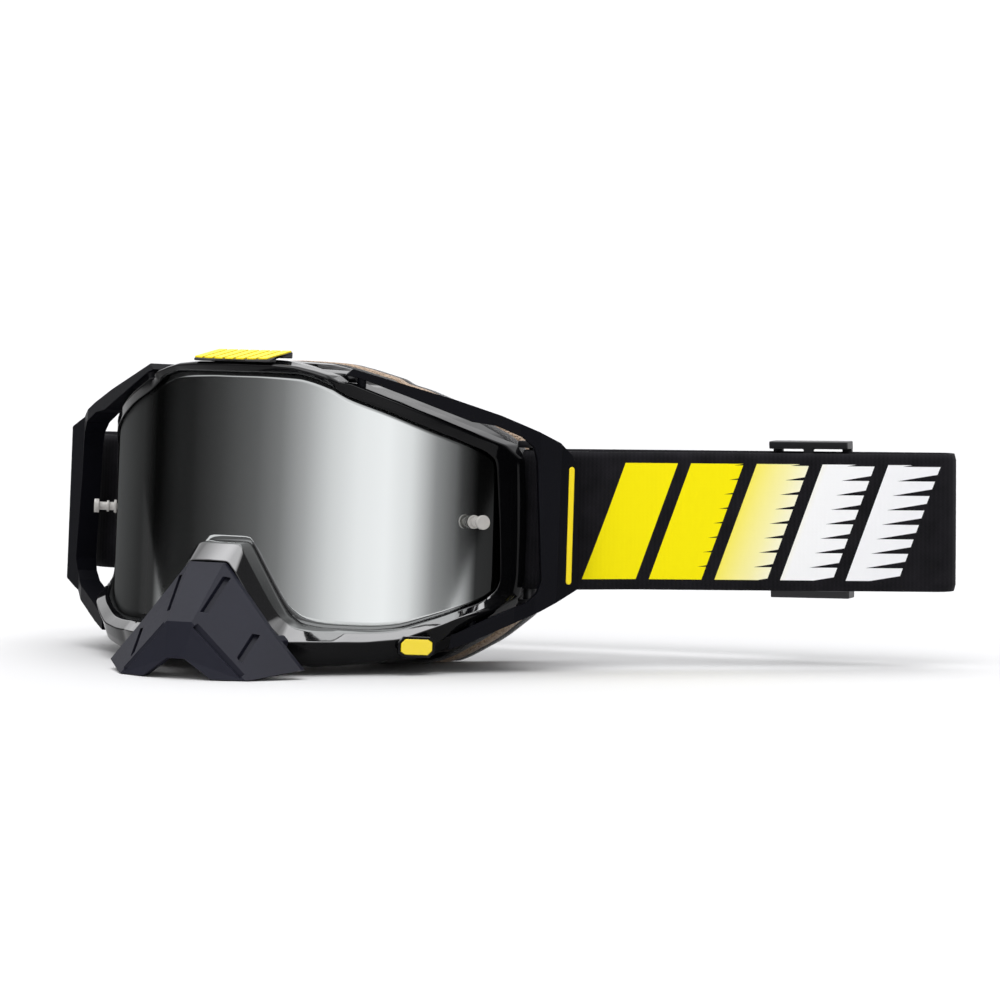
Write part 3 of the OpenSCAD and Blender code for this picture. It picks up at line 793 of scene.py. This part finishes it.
def make_strap():
    route = resample(strap_route(), 1.5)
    route = eased(route, 4)
    across = 22
    # cross-section: flat faces with rounded selvedges, as (share across, share of thickness)
    section = []
    for k in range(across + 1):
        section.append((mix(-0.5, 0.5, k / across), 0.5))
    for k in range(across, -1, -1):
        section.append((mix(-0.5, 0.5, k / across), -0.5))
    vertices, faces, uvs, outside = [], [], [], []
    length = 0.0
    n = len(section)
    for i, point in enumerate(route):
        if i:
            length += math.dist(point[:2], route[i - 1][:2])
        a = Vector(route[max(i - 1, 0)][:2])
        b = Vector(route[min(i + 1, len(route) - 1)][:2])
        heading = (b - a).normalized()
        side = Vector((heading.y, -heading.x))
        x, y, low, share = point
        for up, out in section:
            edge = 1 - smooth(0.455, 0.5, abs(up)) * 0.55
            wave = 0.10 * math.sin(length * 0.05 + up * 2) * smooth(120, 160, length)
            off = STRAP_T * out * edge + wave
            z = low + (up * 0.995 + 0.5) * STRAP_W
            shift = up * STRAP_W * math.tan(LEAN) * share
            vertices.append(Vector((x + side.x * off, y + side.y * off + shift, z)) * MM)
            uvs.append((length * MM, up * STRAP_W * MM))
            outside.append(1.0 if out > 0 else 0.0)
    for i in range(len(route) - 1):
        for k in range(n):
            j = (k + 1) % n
            faces.append((i * n + k, i * n + j, (i + 1) * n + j, (i + 1) * n + k))
    faces.append(tuple(range(n)))
    faces.append(tuple((len(route) - 1) * n + k for k in reversed(range(n))))
    mesh = bpy.data.meshes.new("strap_band")
    mesh.from_pydata([tuple(v) for v in vertices], [], faces)
    layer = mesh.uv_layers.new(name="run")
    for loop in mesh.loops:
        layer.data[loop.index].uv = uvs[loop.vertex_index]
    flag = mesh.attributes.new("outside", "FLOAT", "POINT")
    flag.data.foreach_set("value", outside)
    mesh.materials.append(strap_material())
    mesh.polygons.foreach_set("use_smooth", [True] * len(mesh.polygons))
    work = bmesh.new()
    work.from_mesh(mesh)
    bmesh.ops.recalc_face_normals(work, faces=work.faces)
    work.to_mesh(mesh)
    work.free()
    piece = bpy.data.objects.new("strap_band", mesh)
    bpy.context.scene.collection.objects.link(piece)
    return finish_piece(piece, "goggle", "strap_webbing", "strap")


make_strap()


# ---------------------------------------------------------------- stage
def stage_material(name, colour, rough):
    n = Nodes(name)
    n.set(Base_Color=(*colour, 1), Roughness=rough, Specular_IOR_Level=0.2)
    return n.material


def make_stage():
    pale = stage_material("pale_floor", (0.57, 0.57, 0.57), 0.95)
    size = 6.0
    floor = make_object("floor", [(-size, -size, -0.0003), (size, -size, -0.0003), (size, size, -0.0003),
                                  (-size, size, -0.0003)], [(0, 1, 2, 3)], pale, False)


# Studio light round the horizon: (degrees to the right of straight ahead, brightness)
HORIZON = [(-180, 1.1), (-128, 1.1), (-112, 0.06), (-82, 0.012), (-57, 0.02), (-40, 0.07), (-20, 0.17),
           (-8, 0.3), (4, 0.6), (16, 1.02), (29, 1.32), (42, 1.42), (53, 1.18), (65, 0.4), (78, 0.09),
           (100, 0.02), (125, 0.04), (140, 1.1), (180, 1.1)]
# The same higher up, under the overhead light
UPPER = [(-180, 1.0), (36, 1.0), (58, 0.45), (80, 0.12), (125, 0.15), (145, 1.0), (180, 1.0)]
OVERHEAD = 4.2


def make_world():
    """White backdrop, one broad soft light at the right front and one overhead."""
    world = bpy.data.worlds.new("studio")
    world.use_nodes = True
    n = Nodes.__new__(Nodes)
    n.tree = world.node_tree
    where = n.add("ShaderNodeTexCoord").outputs["Generated"]
    split = n.add("ShaderNodeSeparateXYZ")
    n.link(where, split.inputs["Vector"])
    x, y, z = split.outputs["X"], split.outputs["Y"], split.outputs["Z"]
    turn = n.math("ARCTAN2", x, n.math("MULTIPLY", y, -1.0))
    share = n.math("ADD", n.math("DIVIDE", turn, 2 * math.pi), 0.5)
    level = None
    for light, cover in ((HORIZON, None), (UPPER, (0.26, 0.46)), ([(-180, OVERHEAD)], (0.76, 0.88))):
        stops = [((a + 180) / 360, (b / OVERHEAD,) * 3) for a, b in light]
        here = n.math("MULTIPLY", n.ramp(share, stops), OVERHEAD)
        if cover is None:
            level = here
            continue
        low, high = cover
        over = n.math("DIVIDE", n.math("SUBTRACT", z, low), high - low, clamp=True)
        level = n.math("ADD", n.math("MULTIPLY", level, n.math("SUBTRACT", 1.0, over)),
                       n.math("MULTIPLY", here, over))
    background = world.node_tree.nodes["Background"]
    n.link(level, background.inputs["Strength"])
    background.inputs["Color"].default_value = (0.985, 0.985, 1.0, 1)
    bpy.context.scene.world = world
    bpy.context.scene.view_settings.view_transform = "Standard"


make_stage()
make_world()
